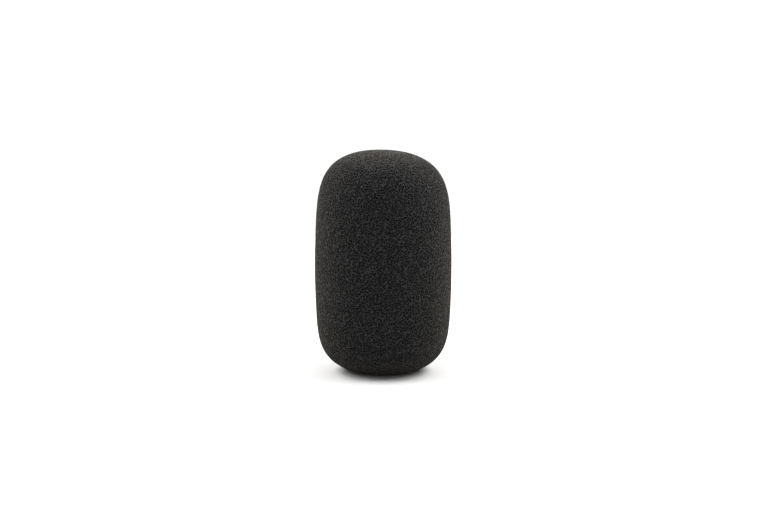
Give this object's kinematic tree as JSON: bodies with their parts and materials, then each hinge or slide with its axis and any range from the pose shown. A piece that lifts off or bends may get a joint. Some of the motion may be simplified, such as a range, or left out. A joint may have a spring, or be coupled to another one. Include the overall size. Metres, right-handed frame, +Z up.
{
  "type": "microphone windscreen",
  "caption": "Barrel-shaped slip-on foam windscreen for a studio microphone, with a lined blind bore and a rubber grip collar in its mouth.",
  "frame": {"origin": "middle of the flat foam ring that the barrel stands on", "axes": "+Z up along the barrel's axis, from the mouth to the crown"},
  "size_m": [0.09, 0.09, 0.146],
  "materials": {
    "coarse_foam": "matte",
    "fine_foam": "matte",
    "collar_rubber": "matte",
    "ring_elastic": "satin"
  },
  "bodies": {
    "root": {"foam_body": "coarse_foam", "inner_sleeve": "fine_foam", "crown_pad": "fine_foam", "mouth_collar": "collar_rubber", "grip_ring": "ring_elastic"}
  },
  "joints": []
}
